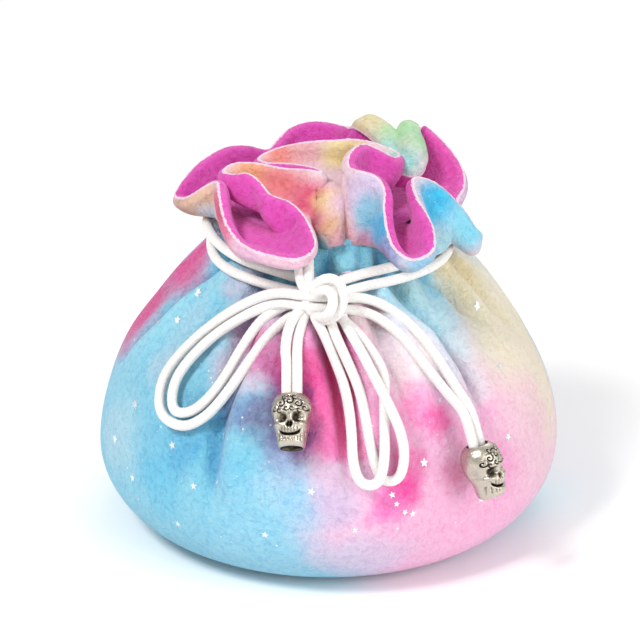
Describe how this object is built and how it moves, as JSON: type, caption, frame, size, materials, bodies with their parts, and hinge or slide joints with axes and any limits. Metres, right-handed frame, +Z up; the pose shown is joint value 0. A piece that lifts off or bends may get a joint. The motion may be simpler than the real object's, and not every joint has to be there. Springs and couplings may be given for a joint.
{
  "type": "drawstring dice bag",
  "caption": "Round plush drawstring bag with a gathered ruffled mouth, tied in a bow of doubled cord that ends in skull beads.",
  "frame": {"origin": "middle of the flat base the bag stands on", "axes": "+Z up through the mouth, -Y towards the side with the bow"},
  "size_m": [0.15, 0.1552, 0.1193],
  "materials": {
    "printed_plush": "short-pile velvet print",
    "lining_plush": "short-pile velvet",
    "seam_thread": "matte thread",
    "white_cord": "soft knitted cord",
    "bead_metal": "antiqued cast metal"
  },
  "bodies": {
    "root": {"outer_body": "printed_plush", "outer_frill": "printed_plush", "lining_body": "lining_plush", "lining_throat": "lining_plush", "lining_frill": "lining_plush", "rim_seam": "seam_thread", "channel_stitch_lower": "seam_thread", "channel_stitch_upper": "seam_thread", "buttonhole_left": "seam_thread", "buttonhole_right": "seam_thread", "casing_cord_left": "white_cord", "casing_cord_right": "white_cord", "bow_knot": "white_cord", "left_cord_a": "white_cord", "left_cord_b": "white_cord", "right_cord_a": "white_cord", "right_cord_b": "white_cord"},
    "left_tail_end": {"end_knot_left": "white_cord"},
    "left_bead": {"skull_bead_left": "bead_metal"},
    "right_tail_end": {"end_knot_right": "white_cord"},
    "right_bead": {"skull_bead_right": "bead_metal"}
  },
  "joints": [
    {"name": "left_tail_twist", "type": "hinge", "parent": "root", "child": "left_tail_end", "pos_m": [-0.0111, -0.0712, 0.0613], "axis": [0, 0.6451, 0.7641], "range_deg": [-180, 180]},
    {"name": "left_bead_slide", "type": "slide", "parent": "left_tail_end", "child": "left_bead", "axis": [0, 0.6451, 0.7641], "range_m": [0, 0.006]},
    {"name": "right_tail_twist", "type": "hinge", "parent": "root", "child": "right_tail_end", "pos_m": [0.0475, -0.065, 0.0422], "axis": [-0.2701, 0.2201, 0.9373], "range_deg": [-180, 180]},
    {"name": "right_bead_slide", "type": "slide", "parent": "right_tail_end", "child": "right_bead", "axis": [-0.2701, 0.2201, 0.9373], "range_m": [0, 0.006]}
  ]
}
